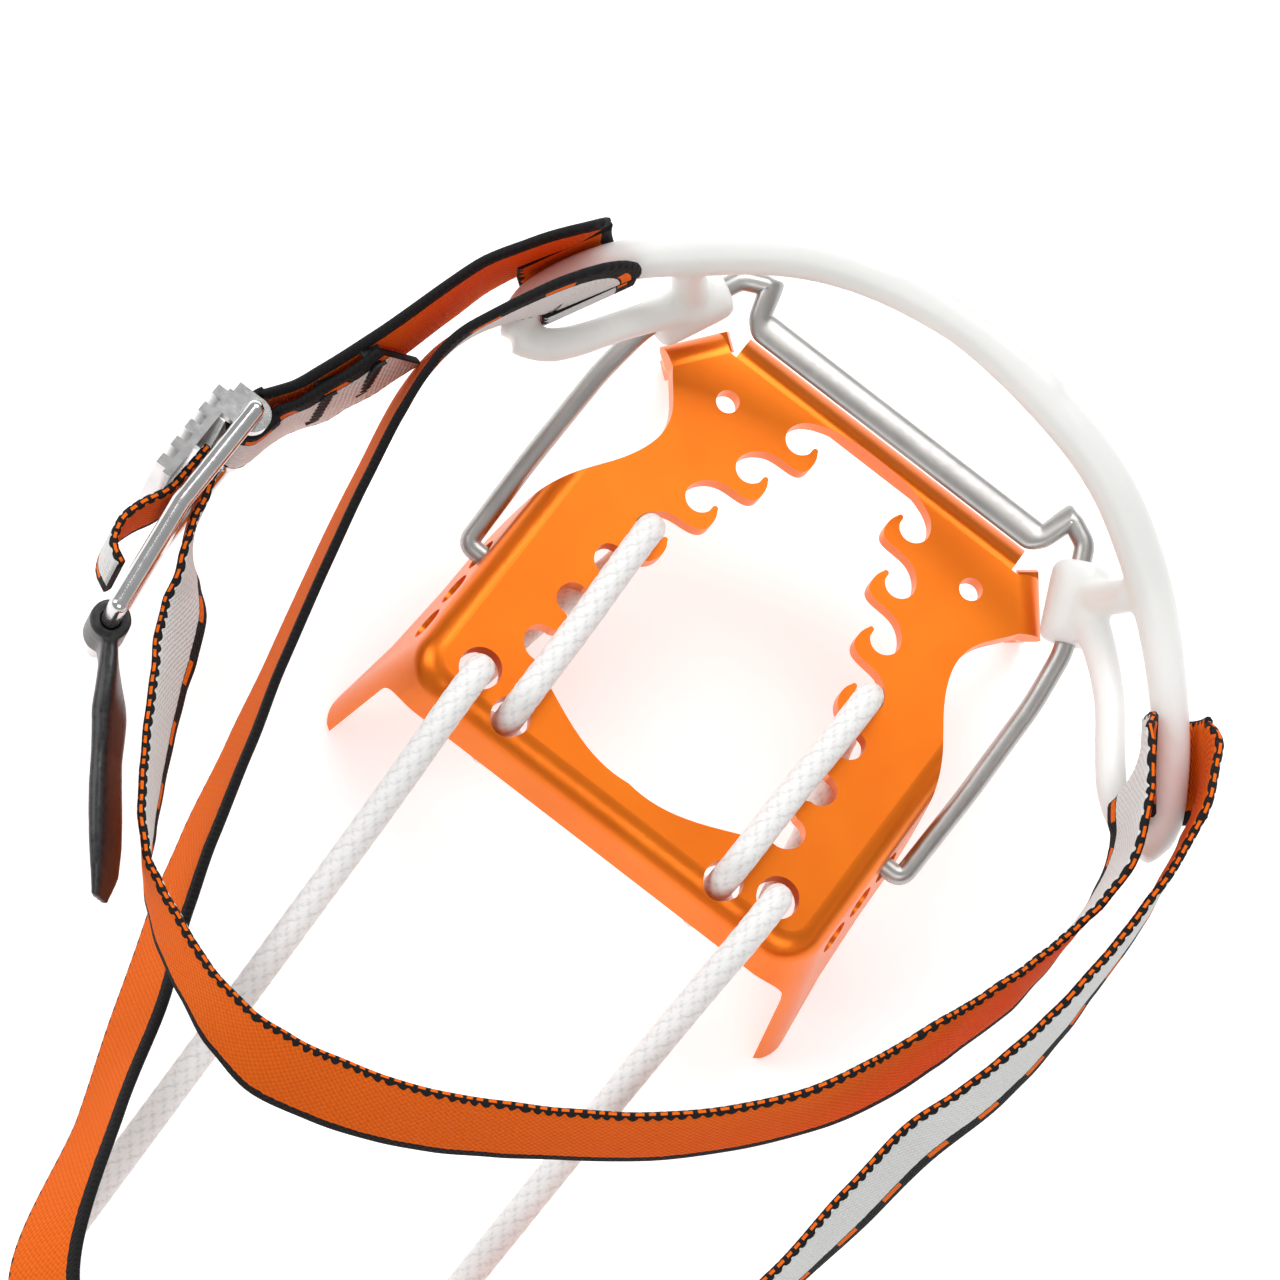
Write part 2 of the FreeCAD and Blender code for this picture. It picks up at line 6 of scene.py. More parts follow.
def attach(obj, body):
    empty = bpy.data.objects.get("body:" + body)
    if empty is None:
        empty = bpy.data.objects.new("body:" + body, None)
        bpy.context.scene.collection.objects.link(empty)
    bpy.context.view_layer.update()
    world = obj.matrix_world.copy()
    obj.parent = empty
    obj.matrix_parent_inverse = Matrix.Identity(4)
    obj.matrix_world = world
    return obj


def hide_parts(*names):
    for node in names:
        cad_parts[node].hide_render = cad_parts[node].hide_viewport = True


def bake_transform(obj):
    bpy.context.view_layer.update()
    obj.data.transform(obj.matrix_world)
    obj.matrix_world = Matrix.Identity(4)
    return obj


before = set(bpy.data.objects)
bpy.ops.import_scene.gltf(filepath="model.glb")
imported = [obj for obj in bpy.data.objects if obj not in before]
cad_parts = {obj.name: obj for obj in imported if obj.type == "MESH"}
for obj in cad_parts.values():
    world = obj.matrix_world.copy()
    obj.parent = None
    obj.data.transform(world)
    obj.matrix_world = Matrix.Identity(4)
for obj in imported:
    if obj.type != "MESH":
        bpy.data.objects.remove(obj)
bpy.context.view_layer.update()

mm = 0.001


camera = {"lookAt": (-11.2, -37.3, 0.0), "distance": 1100.0, "elevation": 70.0, "turn": 37.67, "width": 183.0}


def placeCamera():
    lens = bpy.data.cameras.new("camera")
    lens.sensor_width = 36.0
    lens.lens = 36.0 * camera["distance"] / camera["width"]
    lens.clip_start = 0.01
    obj = bpy.data.objects.new("camera", lens)
    bpy.context.scene.collection.objects.link(obj)
    tilt = math.radians(camera["elevation"])
    turn = math.radians(camera["turn"])
    ahead = Vector((0, math.cos(tilt), -math.sin(tilt)))
    level = Vector((0, math.sin(tilt), math.cos(tilt)))
    across = Vector((1, 0, 0))
    right = across * math.cos(turn) + level * math.sin(turn)
    upward = level * math.cos(turn) - across * math.sin(turn)
    place = Vector(camera["lookAt"]) * mm - ahead * camera["distance"] * mm
    rows = Matrix((right, upward, -ahead)).transposed().to_4x4()
    obj.matrix_world = Matrix.Translation(place) @ rows
    bpy.context.scene.camera = obj


def areaLight(name, place, aim, size, power, colour=(1, 1, 1)):
    lamp = bpy.data.lights.new(name, "AREA")
    lamp.shape = "RECTANGLE"
    lamp.size = size[0]
    lamp.size_y = size[1]
    lamp.energy = power
    lamp.color = colour
    obj = bpy.data.objects.new(name, lamp)
    bpy.context.scene.collection.objects.link(obj)
    away = Vector(place) - Vector(aim)
    obj.rotation_euler = away.to_track_quat("Z", "Y").to_euler()
    obj.location = place


studio = {"worldColour": (1.0, 1.0, 1.0), "worldStrength": 0.42, "floorColour": (0.93, 0.93, 0.93), "floorZ": -30.5}


def buildStudio():
    world = bpy.data.worlds.new("studio")
    bpy.context.scene.world = world
    world.use_nodes = True
    back = world.node_tree.nodes["Background"]
    back.inputs["Color"].default_value = (*studio["worldColour"], 1)
    back.inputs["Strength"].default_value = studio["worldStrength"]
    areaLight("softboxHeel", (-0.25, 0.55, 0.75), (0, -0.03, 0), (0.7, 0.5), 5.4)
    areaLight("softboxLeft", (-0.85, -0.25, 0.6), (0, -0.05, 0), (0.5, 0.7), 3.0)
    areaLight("softboxFront", (0.35, -0.75, 0.9), (0, -0.05, 0), (0.8, 0.6), 3.0)
    bpy.ops.object.select_all(action="DESELECT")
    bpy.ops.mesh.primitive_plane_add(size=12, location=(0, 0, studio["floorZ"] * mm))
    floor = bpy.context.object
    floor.name = "floor"
    bpy.ops.object.transform_apply(location=True)
    mat, nodes, links, shader = newMaterial("paleFloor")
    shader.inputs["Base Color"].default_value = (*studio["floorColour"], 1)
    shader.inputs["Roughness"].default_value = 0.9
    shader.inputs["Specular IOR Level"].default_value = 0.1
    shader.inputs["Emission Color"].default_value = (1, 1, 1, 1)
    shader.inputs["Emission Strength"].default_value = 0.42
    floor.data.materials.append(mat)


def newMaterial(name):
    mat = bpy.data.materials.new(name)
    mat.use_nodes = True
    nodes = mat.node_tree.nodes
    return mat, nodes, mat.node_tree.links, nodes["Principled BSDF"]


def node(nodes, kind, **values):
    made = nodes.new(kind)
    for key, value in values.items():
        setattr(made, key, value)
    return made


def maths(nodes, links, operation, first, second=None, third=None):
    made = node(nodes, "ShaderNodeMath", operation=operation)
    for socket, value in zip(made.inputs, (first, second, third)):
        if value is None:
            continue
        if isinstance(value, (int, float)):
            socket.default_value = value
        else:
            links.new(value, socket)
    return made.outputs[0]


def mixColour(nodes, links, factor, first, second):
    made = node(nodes, "ShaderNodeMix", data_type="RGBA")
    for socket, value in ((made.inputs[0], factor), (made.inputs[6], first), (made.inputs[7], second)):
        if isinstance(value, (int, float)):
            socket.default_value = value
        elif isinstance(value, tuple):
            socket.default_value = (*value, 1)
        else:
            links.new(value, socket)
    return made.outputs[2]


def noiseAt(nodes, links, scale, detail=3.0):
    where = node(nodes, "ShaderNodeTexCoord")
    grain = node(nodes, "ShaderNodeTexNoise")
    grain.inputs["Scale"].default_value = scale
    grain.inputs["Detail"].default_value = detail
    links.new(where.outputs["Object"], grain.inputs["Vector"])
    return grain.outputs["Fac"]


def bumpFrom(nodes, links, shader, height, strength, distance):
    bump = node(nodes, "ShaderNodeBump")
    bump.inputs["Strength"].default_value = strength
    bump.inputs["Distance"].default_value = distance
    links.new(height, bump.inputs["Height"])
    links.new(bump.outputs["Normal"], shader.inputs["Normal"])


def ramp(nodes, links, factor, stops):
    made = node(nodes, "ShaderNodeValToRGB")
    while len(made.color_ramp.elements) < len(stops):
        made.color_ramp.elements.new(0.5)
    for element, (position, colour) in zip(made.color_ramp.elements, stops):
        element.position = position
        element.color = (*colour, 1)
    links.new(factor, made.inputs["Fac"])
    return made.outputs["Color"]


def anodisedOrange():
    mat, nodes, links, shader = newMaterial("anodisedOrange")
    tone = noiseAt(nodes, links, 60, 2)
    colour = ramp(nodes, links, tone, [(0.3, (0.84, 0.165, 0.004)), (0.7, (0.9, 0.2, 0.006))])
    links.new(colour, shader.inputs["Base Color"])
    shader.inputs["Metallic"].default_value = 0.78
    grain = noiseAt(nodes, links, 3500, 2)
    rough = maths(nodes, links, "MULTIPLY_ADD", grain, 0.12, 0.27)
    links.new(rough, shader.inputs["Roughness"])
    shader.inputs["Coat Weight"].default_value = 0.12
    shader.inputs["Coat Roughness"].default_value = 0.2
    bumpFrom(nodes, links, shader, grain, 0.12, 0.00004)
    return mat


def satinSteel(name, colour, low, spread):
    mat, nodes, links, shader = newMaterial(name)
    tone = noiseAt(nodes, links, 180, 4)
    shade = ramp(nodes, links, tone, [(0.3, tuple(c * 0.86 for c in colour)), (0.75, colour)])
    links.new(shade, shader.inputs["Base Color"])
    shader.inputs["Metallic"].default_value = 1.0
    grain = noiseAt(nodes, links, 900, 5)
    rough = maths(nodes, links, "MULTIPLY_ADD", grain, spread, low)
    links.new(rough, shader.inputs["Roughness"])
    bumpFrom(nodes, links, shader, grain, 0.25, 0.00006)
    return mat


def milkyElastomer():
    mat, nodes, links, shader = newMaterial("milkyElastomer")
    tone = noiseAt(nodes, links, 35, 3)
    shade = ramp(nodes, links, tone, [(0.3, (0.80, 0.81, 0.79)), (0.7, (0.86, 0.865, 0.85))])
    links.new(shade, shader.inputs["Base Color"])
    shader.inputs["Roughness"].default_value = 0.34
    shader.inputs["Subsurface Weight"].default_value = 0.85
    shader.inputs["Subsurface Radius"].default_value = (1.0, 1.0, 0.95)
    shader.inputs["Subsurface Scale"].default_value = 0.004
    shader.inputs["IOR"].default_value = 1.45
    grain = noiseAt(nodes, links, 1500, 2)
    bumpFrom(nodes, links, shader, grain, 0.06, 0.00004)
    return mat


def braidedCord():
    mat, nodes, links, shader = newMaterial("braidedCord")
    picked = node(nodes, "ShaderNodeAttribute", attribute_name="plait")
    # colour follows the plait height: grooves between strands are painted darker as shade, strand crowns stay
    # off-white
    shade = ramp(nodes, links, picked.outputs["Fac"], [(0.0, (0.66, 0.66, 0.65)), (0.4, (0.86, 0.86, 0.85)),
                                                      (1.0, (0.95, 0.95, 0.94))])
    links.new(shade, shader.inputs["Base Color"])
    shader.inputs["Roughness"].default_value = 0.75
    shader.inputs["Sheen Weight"].default_value = 0.25
    fibre = noiseAt(nodes, links, 5200, 3)
    bumpFrom(nodes, links, shader, fibre, 0.4, 0.00006)
    return mat


webbingLook = {"orange": (0.90, 0.150, 0.002), "grey": (0.80, 0.80, 0.79), "black": (0.012, 0.012, 0.013)}


# Reads the strap's own map: x runs across, 0 to 0.4 on the orange face and 0.6 to 1 on the pale one
def webbing():
    mat, nodes, links, shader = newMaterial("webbing")
    where = node(nodes, "ShaderNodeUVMap", uv_map="strapMap")
    parts = node(nodes, "ShaderNodeSeparateXYZ")
    links.new(where.outputs["UV"], parts.inputs["Vector"])
    u, v = parts.outputs["X"], parts.outputs["Y"]
    pale = maths(nodes, links, "GREATER_THAN", u, 0.5)
    shifted = maths(nodes, links, "MULTIPLY_ADD", pale, -0.6, u)
    across = maths(nodes, links, "MULTIPLY", shifted, 2.5)      # 0 to 1 over either face
    jitter = noiseAt(nodes, links, 900, 2)
    wobble = maths(nodes, links, "MULTIPLY_ADD", jitter, 0.03, -0.015)
    acrossRough = maths(nodes, links, "ADD", across, wobble)
    along = maths(nodes, links, "MULTIPLY", v, 1000.0)          # millimetres
    # plain weave: picks across the strap, warp ends along it
    picks = maths(nodes, links, "SINE", maths(nodes, links, "MULTIPLY", along, 2 * math.pi / 0.95))
    ends = maths(nodes, links, "SINE", maths(nodes, links, "MULTIPLY", across, 2 * math.pi * 13))
    weave = maths(nodes, links, "MULTIPLY", picks, ends)
    height = maths(nodes, links, "MULTIPLY_ADD", picks, 0.35, weave)
    # dashes along the thin selvedge
    drift = noiseAt(nodes, links, 260, 2)
    shiftedAlong = maths(nodes, links, "MULTIPLY_ADD", drift, 1.6, along)
    dash = maths(nodes, links, "SINE", maths(nodes, links, "MULTIPLY", shiftedAlong, 2 * math.pi / 1.75))
    tooth = maths(nodes, links, "MULTIPLY_ADD", dash, -0.022, 0.958)
    thin = maths(nodes, links, "GREATER_THAN", acrossRough, tooth)
    onSide = maths(nodes, links, "COMPARE", u, 0.45, 0.02)
    sideDash = maths(nodes, links, "GREATER_THAN", dash, 0.35)
    broad = maths(nodes, links, "LESS_THAN", acrossRough, 0.13)
    broadPale = maths(nodes, links, "LESS_THAN", acrossRough, 0.24)
    # orange blotches in the pale face's stripe
    blotch = maths(nodes, links, "SINE", maths(nodes, links, "MULTIPLY", along, 2 * math.pi / 9.0))
    blotchOn = maths(nodes, links, "GREATER_THAN", blotch, 0.35)
    inStripe = maths(nodes, links, "COMPARE", across, 0.17, 0.05)
    blotchOn = maths(nodes, links, "MULTIPLY", blotchOn, inStripe)
    # threads darker where the weave dips: painted shade in the weave, on the orange and the pale face
    tone = maths(nodes, links, "MULTIPLY_ADD", weave, 0.2, 0.82)
    orange = mixColour(nodes, links, tone, (0.42, 0.05, 0.001), webbingLook["orange"])
    grey = mixColour(nodes, links, tone, tuple(c * 0.6 for c in webbingLook["grey"]), webbingLook["grey"])
    frontFace = mixColour(nodes, links, broad, orange, webbingLook["black"])
    backFace = mixColour(nodes, links, broadPale, grey, webbingLook["black"])
    backFace = mixColour(nodes, links, blotchOn, backFace, webbingLook["orange"])
    face = mixColour(nodes, links, pale, frontFace, backFace)
    face = mixColour(nodes, links, thin, face, webbingLook["black"])
    side = mixColour(nodes, links, sideDash, webbingLook["orange"], webbingLook["black"])
    face = mixColour(nodes, links, onSide, face, side)
    links.new(face, shader.inputs["Base Color"])
    shader.inputs["Roughness"].default_value = 0.85
    shader.inputs["Specular IOR Level"].default_value = 0.2
    bumpFrom(nodes, links, shader, height, 0.5, 0.00022)
    return mat


def darkThread():
    mat, nodes, links, shader = newMaterial("darkThread")
    shader.inputs["Base Color"].default_value = (0.012, 0.012, 0.013, 1)
    shader.inputs["Roughness"].default_value = 0.55
    grain = noiseAt(nodes, links, 4000, 3)
    bumpFrom(nodes, links, shader, grain, 0.4, 0.00006)
    return mat


def tabRubber():
    mat, nodes, links, shader = newMaterial("tabRubber")
    grain = noiseAt(nodes, links, 1400, 4)
    shade = ramp(nodes, links, grain, [(0.3, (0.012, 0.012, 0.013)), (0.7, (0.03, 0.03, 0.032))])
    links.new(shade, shader.inputs["Base Color"])
    rough = maths(nodes, links, "MULTIPLY_ADD", grain, 0.3, 0.2)
    links.new(rough, shader.inputs["Roughness"])
    bumpFrom(nodes, links, shader, grain, 0.25, 0.00012)
    return mat


def dress(obj, mat):
    obj.data.materials.clear()
    obj.data.materials.append(mat)


def smoothByAngle(obj, degrees):
    bpy.ops.object.select_all(action="DESELECT")
    obj.select_set(True)
    bpy.context.view_layer.objects.active = obj
    bpy.ops.object.shade_smooth_by_angle(angle=math.radians(degrees))


placeCamera()
buildStudio()
print("camera and studio")


linkCord = {
    "holeOuter": (26.7, -55.4), "holeInner": (19.1, -58.3), "gullet": (19.8, -22.7), "endZ": -9.0,
    "top": 2.9, "below": -5.9, "diameter": 4.4,
    "rings": 1700, "strands": 12, "plaitPitch": 5.4, "plaitDepth": 0.12,
}


def cordRoute(side):
    ax, ay = linkCord["holeOuter"]
    bx, by = linkCord["holeInner"]
    gx, gy = linkCord["gullet"]
    top, below = linkCord["top"], linkCord["below"]
    rows = [(bx, by, linkCord["endZ"]), (bx, by, top), (bx + 0.1, by + 9, 3.3), (gx - 0.5, gy - 18, 3.0),
            (gx - 0.1, gy - 8, 3.3), (gx, gy, top), (gx, gy, below), (gx + 1.0, gy - 8, -6.4),
            (ax - 2.6, ay + 17, -6.8), (ax - 1.0, ay + 8, -6.4), (ax, ay, below), (ax, ay, top),
            (ax - 0.2, ay - 9, 3.6), (ax - 0.8, ay - 20, -1.0), (ax - 1.3, ay - 38, -11.0),
            (ax - 1.9, ay - 64, -22.0), (ax - 2.5, ay - 92, -27.0), (ax - 3.2, ay - 122, -27.5)]
    return [(side * x, y, z) for x, y, z in rows]


# Curve object whose control points are the rows
def nurbsThrough(name, rows, radius=0.0, sides=4, resolution=12):
    curve = bpy.data.curves.new(name, "CURVE")
    curve.dimensions = "3D"
    spline = curve.splines.new("NURBS")
    spline.points.add(len(rows) - 1)
    for point, row in zip(spline.points, rows):
        point.co = (row[0] * mm, row[1] * mm, row[2] * mm, 1)
        if len(row) > 3:
            point.radius = row[3]
    spline.order_u = 3
    spline.use_endpoint_u = True
    spline.resolution_u = resolution
    curve.bevel_depth = radius * mm
    curve.bevel_resolution = sides
    curve.use_fill_caps = True
    obj = bpy.data.objects.new(name, curve)
    bpy.context.scene.collection.objects.link(obj)
    return obj


def toMesh(obj):
    bpy.ops.object.select_all(action="DESELECT")
    obj.select_set(True)
    bpy.context.view_layer.objects.active = obj
    bpy.ops.object.convert(target="MESH")
    return bpy.context.object


# Points at even spacing along an open line
def evenPoints(rows, count):
    lengths = [0.0]
    for a, b in zip(rows, rows[1:]):
        lengths.append(lengths[-1] + (b - a).length)
    out = []
    index = 0
    for step in range(count):
        target = lengths[-1] * step / (count - 1)
        while index < len(rows) - 2 and lengths[index + 1] < target:
            index += 1
        span = lengths[index + 1] - lengths[index] or 1.0
        out.append(rows[index].lerp(rows[index + 1], min(1.0, (target - lengths[index]) / span)))
    return out, lengths[-1]


# Directions along the line, with sides carried from point to point without twist
def sweepFrames(line):
    frames = []
    side = None
    for index, point in enumerate(line):
        ahead = (line[min(index + 1, len(line) - 1)] - line[max(index - 1, 0)]).normalized()
        if side is None:
            side = ahead.orthogonal().normalized()
        side = (side - ahead * side.dot(ahead)).normalized()
        frames.append((point, ahead, side, ahead.cross(side)))
    return frames


def buildCord():
    bight = [(23.0, -199.0, -27.6), (12.5, -213.0, -27.6), (-12.5, -213.0, -27.6), (-23.0, -199.0, -27.6)]
    rows = cordRoute(1) + bight + cordRoute(-1)[::-1]
    guide = toMesh(nurbsThrough("cordLine", rows, resolution=24))
    line = [v.co.copy() for v in guide.data.vertices]
    bpy.data.objects.remove(guide)
    line, length = evenPoints(line, linkCord["rings"])
    ringSides = 40
    radius = linkCord["diameter"] / 2
    verts, faces, heights = [], [], []
    strands = linkCord["strands"]
    for index, (point, ahead, side, other) in enumerate(sweepFrames(line)):
        s = length * 1000 * index / (len(line) - 1)
        for k in range(ringSides):
            angle = 2 * math.pi * k / ringSides
            lay = 2 * math.pi * s / linkCord["plaitPitch"]
            one = strands / 2 * angle + lay * 2
            two = strands / 2 * angle - lay * 2
            over = math.sin(one) * math.sin(two)
            ridge = 0.5 + 0.5 * (math.cos(one) if over > 0 else math.cos(two))
            height = 0.35 * abs(over) ** 0.5 + 0.65 * ridge
            heights.append(height)
            r = (radius - linkCord["plaitDepth"] * (1 - height)) * mm
            verts.append(point + (side * math.cos(angle) + other * math.sin(angle)) * r)
    for index in range(len(line) - 1):
        a, b = index * ringSides, (index + 1) * ringSides
        for k in range(ringSides):
            n = (k + 1) % ringSides
            faces.append((a + k, a + n, b + n, b + k))
    faces.append(tuple(range(ringSides))[::-1])
    last = (len(line) - 1) * ringSides
    faces.append(tuple(last + k for k in range(ringSides)))
    mesh = bpy.data.meshes.new("link_cord_braid")
    mesh.from_pydata(verts, [], faces)
    # plait holds each point's strand height; the cord material turns low heights into painted shade in the grooves
    plait = mesh.attributes.new("plait", "FLOAT", "POINT")
    plait.data.foreach_set("value", heights)
    mesh.shade_smooth()
    cord = bpy.data.objects.new("link_cord_braid", mesh)
    bpy.context.scene.collection.objects.link(cord)
    return cord, line, length


cordLook = braidedCord()
cord, cordLine, cordLength = buildCord()
dress(cord, cordLook)
print("cord", round(cordLength, 4), "m")


stopperKnot = {"drop": 3.6, "reach": 2.0, "cross": 1.2, "pull": 0.8, "depth": 1.5, "radius": 1.75, "steps": 40}


# a few turns of the cord pulled tight
def buildKnot(side):
    bx, by = linkCord["holeInner"]
    rows = []
    reach, cross, pull = stopperKnot["reach"], stopperKnot["cross"], stopperKnot["pull"]
    for step in range(stopperKnot["steps"] + 1):
        t = 2 * math.pi * step / stopperKnot["steps"]
        x = reach * math.sin(t) + cross * math.sin(2 * t)
        y = reach * math.cos(t) - cross * math.cos(2 * t)
        z = linkCord["endZ"] - stopperKnot["drop"] - stopperKnot["depth"] * math.sin(3 * t)
        rows.append((side * bx + x * pull, by + y * pull, z))
    name = "stopper_knot_turns_right" if side > 0 else "stopper_knot_turns_left"
    knot = toMesh(nurbsThrough(name, rows, stopperKnot["radius"], 5, 4))
    # made-up plait values, so the cord material's painted groove shade shows on the knot as dark and light bands
    plait = knot.data.attributes.new("plait", "FLOAT", "POINT")
    plait.data.foreach_set("value", [0.5 + 0.5 * math.sin(i * 1.3) for i in range(len(knot.data.vertices))])
    knot.data.shade_smooth()
    dress(knot, cordLook)
    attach(knot, "root")
    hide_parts("stopper_knot_right" if side > 0 else "stopper_knot_left")
    return knot


knots = [buildKnot(1), buildKnot(-1)]
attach(cord, "root")
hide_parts("link_cord")
print("knots")


dress(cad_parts["heel_plate"], anodisedOrange())
smoothByAngle(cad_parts["heel_plate"], 28)
print("plate")


wireBail = {"radius": 1.5, "flatten": 0.55, "widen": 1.6, "flatHalf": 24.5, "barY": 11.6, "barZ": 2.3}
wireHalf = [(32.4, -39.3, -7), (39.4, -39.3, -7), (39.7, -24.0, -4.3), (39.4, -8.0, -1.3), (38.3, 0.8, 0.9),
            (31.4, 15.0, 3.4), (27.6, 16.9, 3.4), (25.8, 11.6, 2.3)]


# Control points doubled beside each corner, so that the runs stay straight
def cornered(rows, share=0.45):
    out = [rows[0]]
    pts = [Vector(row) for row in rows]
    for before, corner, after in zip(pts, pts[1:], pts[2:]):
        cut = share * min((corner - before).length, (after - corner).length)
        out.append(tuple(corner + (before - corner).normalized() * cut))
        out.append(tuple(corner))
        out.append(tuple(corner + (after - corner).normalized() * cut))
    out.append(rows[-1])
    return out


def buildWire():
    rows = wireHalf + [(-x, y, z) for x, y, z in wireHalf[::-1]]
    wire = toMesh(nurbsThrough("bail_wire", cornered(rows), wireBail["radius"], 6, 6))
    # the crossbar is pressed flat between its two ends
    half, barY, barZ = wireBail["flatHalf"], wireBail["barY"], wireBail["barZ"]
    for v in wire.data.vertices:
        x, y, z = (c / mm for c in v.co)
        if abs(x) < half + 3 and y > 5:
            share = min(1.0, max(0.0, (half + 3 - abs(x)) / 3.0))
            y = barY + (y - barY) * (1 + (wireBail["widen"] - 1) * share)
            z = barZ + (z - barZ) * (1 + (wireBail["flatten"] - 1) * share)
            v.co = Vector((x, y, z)) * mm
    wire.data.shade_smooth()
    dress(wire, satinSteel("satinWire", (0.52, 0.51, 0.495), 0.28, 0.24))
    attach(wire, "bail")
    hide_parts("wire_bail")


buildWire()
print("wire")


hoop = {
    "voxel": 0.55, "lugRadius": 4.3,
    "rightBand": [(-14, 19.9, 27.7, 3.0), (0, 20.7, 28, 3.1), (18, 18.6, 27, 3.2), (28.7, 16.0, 25, 3.3),
                  (37.3, 11.8, 22, 3.4), (45.1, 6.8, 19, 3.2), (52.3, 0, 17, 2.9), (58.0, -6.5, 16, 2.8),
                  (62.3, -13, 15, 2.7), (64.8, -18.2, 14, 2.6), (63.2, -21.6, 13.6, 2.3)],
    "leftBand": [(14, 19.9, 27.7, 3.0), (0, 20.7, 28, 3.1), (-13.4, 18.9, 27.5, 3.2), (-22.7, 16.4, 26, 3.4),
                 (-30.6, 12.8, 23.5, 3.5), (-37.7, 7.8, 20.5, 3.5), (-43.6, 3.0, 18.5, 3.2), (-48.6, -2.4, 17, 2.9),
                 (-52.2, -9.0, 15.6, 2.8), (-53.4, -14.6, 14.6, 2.8), (-51.4, -17.8, 14.2, 2.4)],
    "rightArm": [(35.0, 7.6, 3.0, 3.2), (37.8, 5.6, 5.2, 3.0), (41.6, 2.1, 8, 2.5), (47.4, -5.0, 11.5, 2.3),
                 (51.6, -12.0, 13, 2.3), (56.4, -18.6, 13.6, 2.4), (63.2, -21.6, 13.6, 2.3)],
    "leftArm": [(-34.0, 8.0, 3.4, 3.2), (-36.4, 4.6, 5.0, 3.0), (-38.6, -0.4, 8, 2.4), (-41.6, -6.6, 11.5, 2.3),
                (-44.6, -12.4, 13, 2.4), (-48.0, -16.6, 14, 2.6), (-51.4, -17.8, 14.2, 2.4)],
    "rightWeb": [(35.6, 8.4, 3.4, 3.0), (38.8, 7.8, 10, 2.5), (40.8, 7.6, 18.5, 2.6)],
    "leftWeb": [(-35.0, 8.0, 3.4, 3.0), (-37.2, 6.6, 10, 2.5), (-38.4, 5.8, 18.6, 2.6)],
}


def buildHoop():
    made = []
    for name in ("rightBand", "leftBand", "rightArm", "leftArm", "rightWeb", "leftWeb"):
        rows = hoop[name]
        made.append(toMesh(nurbsThrough("hoop_" + name, rows, 1.0, 6, 10)))
    for side in (-1, 1):
        foot = Vector((side * 38.0, 1.8, 1.3)) * mm
        head = Vector((side * 32.9, 12.6, 3.2)) * mm
        way = head - foot
        bpy.ops.object.select_all(action="DESELECT")
        turn = way.to_track_quat("Z", "Y").to_euler()
        bpy.ops.mesh.primitive_cylinder_add(vertices=40, radius=hoop["lugRadius"] * mm, depth=way.length,
                                            location=(foot + head) / 2, rotation=turn)
        lug = bpy.context.object
        bpy.ops.object.mode_set(mode="EDIT")
        bpy.ops.mesh.select_all(action="SELECT")
        bpy.ops.mesh.bevel(offset=1.2 * mm, segments=4, affect="EDGES")
        bpy.ops.object.mode_set(mode="OBJECT")
        made.append(lug)
    bpy.ops.object.select_all(action="DESELECT")
    for part in made:
        part.select_set(True)
    whole = made[0]
    bpy.context.view_layer.objects.active = whole
    bpy.ops.object.join()
    bpy.ops.object.transform_apply(location=True, rotation=True, scale=True)
    whole.name = "heel_hoop_moulding"
    remesh = whole.modifiers.new("blend", "REMESH")
    remesh.mode = "VOXEL"
    remesh.voxel_size = hoop["voxel"] * mm
    bpy.ops.object.modifier_apply(modifier="blend")
    soften = whole.modifiers.new("soften", "SMOOTH")
    soften.factor = 0.5
    soften.iterations = 14
    bpy.ops.object.modifier_apply(modifier="soften")
    whole.data.shade_smooth()
    dress(whole, milkyElastomer())
    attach(whole, "bail")
    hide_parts("heel_hoop")


buildHoop()
print("hoop")


strap = {"width": 15.0, "thickness": 1.3, "step": 0.9, "slotBar": 2.3, "slotGap": 1.05, "legRise": 3.6,
         "buckleBar": (-74.0, -49.5), "buckleBarRadius": 1.4, "buckleGap": 0.3}
up = (0, 0, 1)


# Catmull-Rom line through rows of (place, width direction)
def eased(rows, spacing):
    places = [Vector(row[0]) for row in rows]
    sides = [Vector(row[1]).normalized() for row in rows]
    places = [places[0] * 2 - places[1]] + places + [places[-1] * 2 - places[-2]]
    sides = [sides[0]] + sides + [sides[-1]]
    out = []
    for i in range(1, len(places) - 2):
        a, b, c, d = places[i - 1:i + 3]
        count = max(2, int((c - b).length / spacing))
        for step in range(count):
            t = step / count
            spot = 0.5 * ((2 * b) + (c - a) * t + (2 * a - 5 * b + 4 * c - d) * t * t
                          + (3 * b - a - 3 * c + d) * t * t * t)
            ease = t * t * (3 - 2 * t)
            out.append((spot, sides[i].lerp(sides[i + 1], ease).normalized()))
    out.append((places[-2], sides[-2]))
    return out


